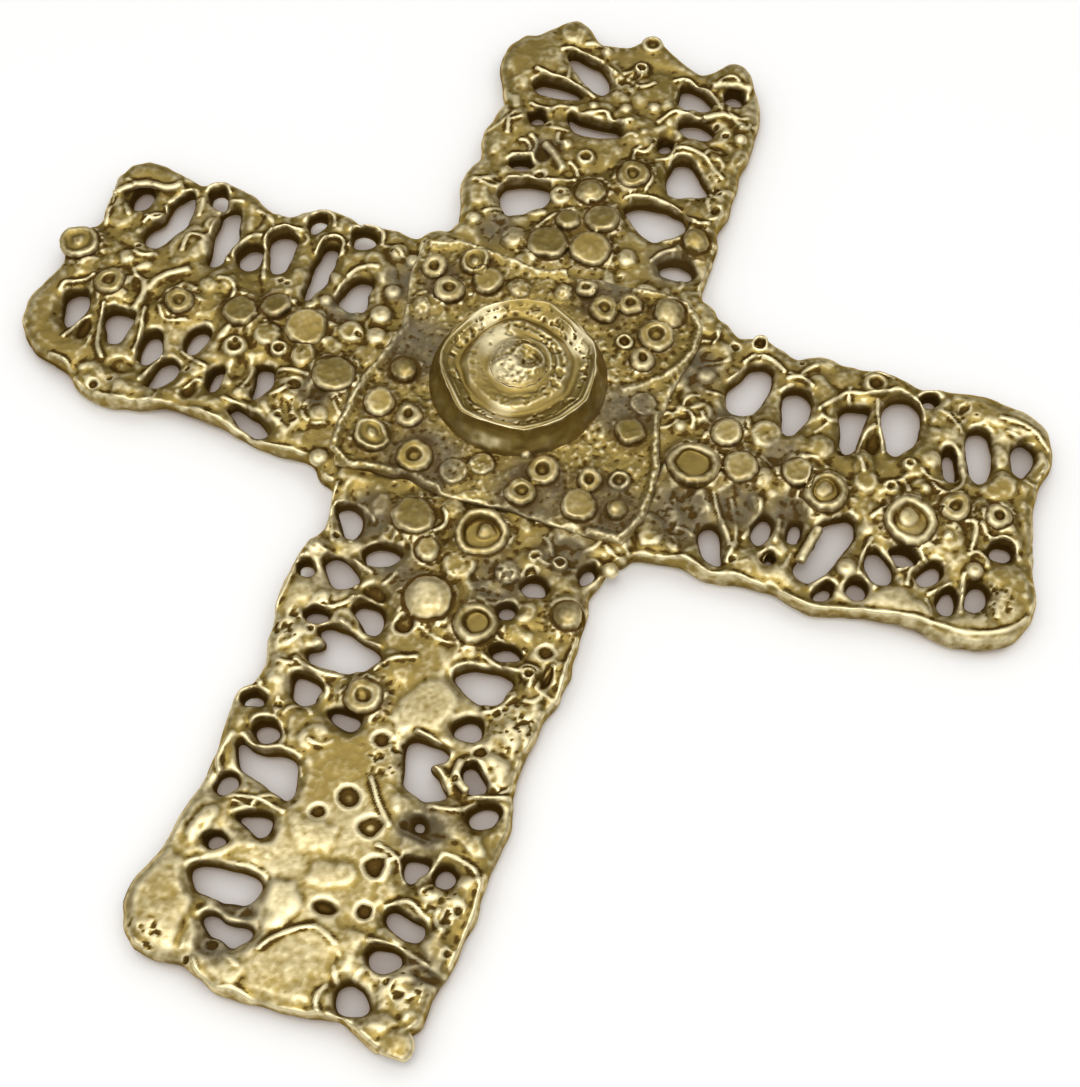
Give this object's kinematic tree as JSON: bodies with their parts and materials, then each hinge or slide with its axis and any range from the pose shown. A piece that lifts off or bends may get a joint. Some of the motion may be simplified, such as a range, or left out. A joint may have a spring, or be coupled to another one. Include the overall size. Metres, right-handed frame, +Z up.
{
  "type": "wall cross",
  "caption": "Flat openwork brass wall cross built of pierced arm plates, a framed centre plaque with a turned boss, applied pellets and rings, and a wire hanging eye behind the upper arm.",
  "frame": {"origin": "middle of the crossing, on the flat back of the casting", "axes": "+Z up the cross, +Y out of the back towards the wall, the decorated front faces -Y, +X to the right as seen from the front"},
  "size_m": [0.171, 0.0171, 0.1872],
  "materials": {
    "arm_brass": "aged cast brass, worn bright on the high places, dark in the recesses",
    "plaque_brass": "aged cast brass with a dull grey-brown bloom",
    "pellet_brass": "aged brass pellets rubbed smooth",
    "boss_brass": "aged brass, smooth flank and rough pitted top",
    "eye_wire": "dull brazed wire"
  },
  "bodies": {
    "root": {"boss_button": "boss_brass", "boss_collar": "boss_brass", "boss_disc": "boss_brass", "centre_plaque": "plaque_brass", "crossing_plate": "arm_brass", "hanging_eye": "eye_wire", "left_arm": "arm_brass", "left_disc_crossing": "pellet_brass", "left_disc_middle": "pellet_brass", "left_disc_outer": "pellet_brass", "left_disc_upper": "pellet_brass", "left_ring_middle": "pellet_brass", "left_ring_outer": "pellet_brass", "left_ring_tip": "pellet_brass", "lower_arm": "arm_brass", "lower_cup": "pellet_brass", "lower_cup_crossing": "pellet_brass", "lower_disc_crossing": "pellet_brass", "lower_disc_edge": "pellet_brass", "lower_disc_small": "pellet_brass", "lower_drop": "pellet_brass", "lower_ring": "pellet_brass", "plaque_disc_bottom_right": "pellet_brass", "plaque_disc_left_low": "pellet_brass", "plaque_disc_right_low": "pellet_brass", "plaque_disc_top_left": "pellet_brass", "plaque_dome_bottom_right": "pellet_brass", "plaque_dome_left": "pellet_brass", "plaque_dome_right": "pellet_brass", "plaque_pip_bottom_left": "pellet_brass", "plaque_ring_bottom": "pellet_brass", "plaque_ring_bottom_left": "pellet_brass", "plaque_ring_bottom_tail": "pellet_brass", "plaque_ring_left_edge": "pellet_brass", "plaque_ring_left_low": "pellet_brass", "plaque_ring_left_upper": "pellet_brass", "plaque_ring_right": "pellet_brass", "plaque_ring_right_low": "pellet_brass", "plaque_ring_right_lower": "pellet_brass", "plaque_ring_top": "pellet_brass", "plaque_ring_top_left": "pellet_brass", "plaque_ring_top_right": "pellet_brass", "plaque_ring_top_small": "pellet_brass", "right_arm": "arm_brass", "right_cup_crossing": "pellet_brass", "right_cup_middle": "pellet_brass", "right_cup_outer": "pellet_brass", "right_disc_inner": "pellet_brass", "right_disc_middle": "pellet_brass", "right_disc_upper": "pellet_brass", "right_ring_outer": "pellet_brass", "right_ring_tip": "pellet_brass", "upper_arm": "arm_brass", "upper_disc_left": "pellet_brass", "upper_disc_low": "pellet_brass", "upper_disc_low_left": "pellet_brass", "upper_disc_right": "pellet_brass", "upper_dome_edge": "pellet_brass", "upper_egg": "pellet_brass", "upper_ring": "pellet_brass"}
  },
  "joints": []
}
